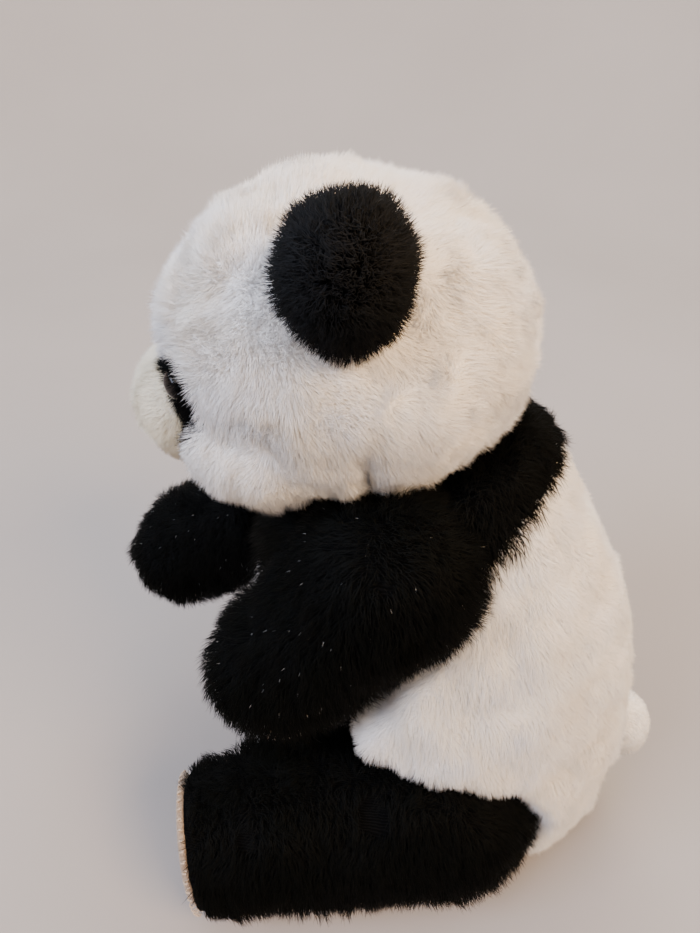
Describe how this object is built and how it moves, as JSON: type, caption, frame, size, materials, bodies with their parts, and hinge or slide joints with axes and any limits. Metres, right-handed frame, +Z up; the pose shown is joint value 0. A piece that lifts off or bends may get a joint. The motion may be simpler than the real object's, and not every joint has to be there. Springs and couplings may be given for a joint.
{
  "type": "plush panda",
  "caption": "Seated plush panda with stuffed head, body, limbs and tail that bend at their seams.",
  "frame": {"origin": "on the surface it sits on, under the middle of the whole toy", "axes": "+Z up; the panda faces -Y and its left side is +X"},
  "size_m": [0.2074, 0.257, 0.2874],
  "materials": {
    "white_plush": "long soft pile, off-white",
    "cream_plush": "short soft pile, cream",
    "black_plush": "long shaggy pile, black",
    "beige_felt": "smooth short nap, beige",
    "fibre": "polyester fibre fill, inside",
    "pellet_cloth": "woven bag of pellets, inside",
    "thread": "thick embroidery thread",
    "gloss_eye": "polished black",
    "satin_nose": "satin black",
    "washer": "translucent white, inside"
  },
  "bodies": {
    "torso": {"body_cover": "white_plush", "shoulder_yoke": "black_plush", "seat_panel": "white_plush", "body_stuffing": "fibre", "pellet_bag": "pellet_cloth"},
    "neck": {"neck_stuffing": "fibre"},
    "head": {"head_cover": "white_plush", "head_stuffing": "fibre", "muzzle_cover": "cream_plush", "muzzle_stuffing": "fibre", "eye_patch_left": "black_plush", "eye_patch_right": "black_plush", "eye_left": "gloss_eye", "eye_right": "gloss_eye", "eye_washer_left": "washer", "eye_washer_right": "washer", "nose": "satin_nose", "nose_washer": "washer", "mouth_stitch": "thread"},
    "ear_left": {"ear_front_left": "black_plush", "ear_back_left": "black_plush"},
    "ear_right": {"ear_front_right": "black_plush", "ear_back_right": "black_plush"},
    "arm_left": {"arm_cover_left": "black_plush", "arm_stuffing_left": "fibre", "paw_pad_left": "beige_felt"},
    "arm_right": {"arm_cover_right": "black_plush", "arm_stuffing_right": "fibre", "paw_pad_right": "beige_felt"},
    "leg_left": {"leg_cover_left": "black_plush", "leg_stuffing_left": "fibre", "sole_pad_left": "beige_felt"},
    "leg_right": {"leg_cover_right": "black_plush", "leg_stuffing_right": "fibre", "sole_pad_right": "beige_felt"},
    "tail": {"tail_cover": "white_plush", "tail_stuffing": "fibre"}
  },
  "joints": [
    {"name": "head_nod", "type": "hinge", "parent": "torso", "child": "neck", "pos_m": [0, 0.0051, 0.185], "axis": [1, 0, 0], "range_deg": [-6, 6], "stiffness_Nm_per_rad": 4},
    {"name": "head_turn", "type": "hinge", "parent": "neck", "child": "head", "pos_m": [0, 0.0051, 0.185], "axis": [0, -0.4226, 0.9063], "range_deg": [-15, 15], "stiffness_Nm_per_rad": 3},
    {"name": "ear_left_bend", "type": "hinge", "parent": "head", "child": "ear_left", "pos_m": [0.04992, -0.00682, 0.26382], "axis": [-0.6832, 0, 0.7302], "range_deg": [-12, 12], "stiffness_Nm_per_rad": 0.1},
    {"name": "ear_right_bend", "type": "hinge", "parent": "head", "child": "ear_right", "pos_m": [-0.05786, -0.00117, 0.24284], "axis": [-0.3684, 0, -0.9297], "range_deg": [-12, 12], "stiffness_Nm_per_rad": 0.1},
    {"name": "arm_left_swing", "type": "hinge", "parent": "torso", "child": "arm_left", "pos_m": [0.048, 0.0111, 0.163], "axis": [-0.9903, -0.1392, 0], "range_deg": [-8, 32], "stiffness_Nm_per_rad": 0.8},
    {"name": "arm_right_swing", "type": "hinge", "parent": "torso", "child": "arm_right", "pos_m": [-0.05, 0.0071, 0.152], "axis": [-0.9945, -0.1045, 0], "range_deg": [-4, 12], "stiffness_Nm_per_rad": 1.2},
    {"name": "leg_left_lift", "type": "hinge", "parent": "torso", "child": "leg_left", "pos_m": [0.0403, 0.0359, 0.036], "axis": [-0.9336, -0.3584, 0], "range_deg": [0, 20], "stiffness_Nm_per_rad": 1.6},
    {"name": "leg_right_lift", "type": "hinge", "parent": "torso", "child": "leg_right", "pos_m": [-0.0403, 0.0359, 0.036], "axis": [-0.9336, 0.3584, 0], "range_deg": [0, 20], "stiffness_Nm_per_rad": 1.6},
    {"name": "tail_wag", "type": "hinge", "parent": "torso", "child": "tail", "pos_m": [0, 0.1121, 0.05], "axis": [1, 0, 0], "range_deg": [-8, 8], "stiffness_Nm_per_rad": 0.05}
  ]
}
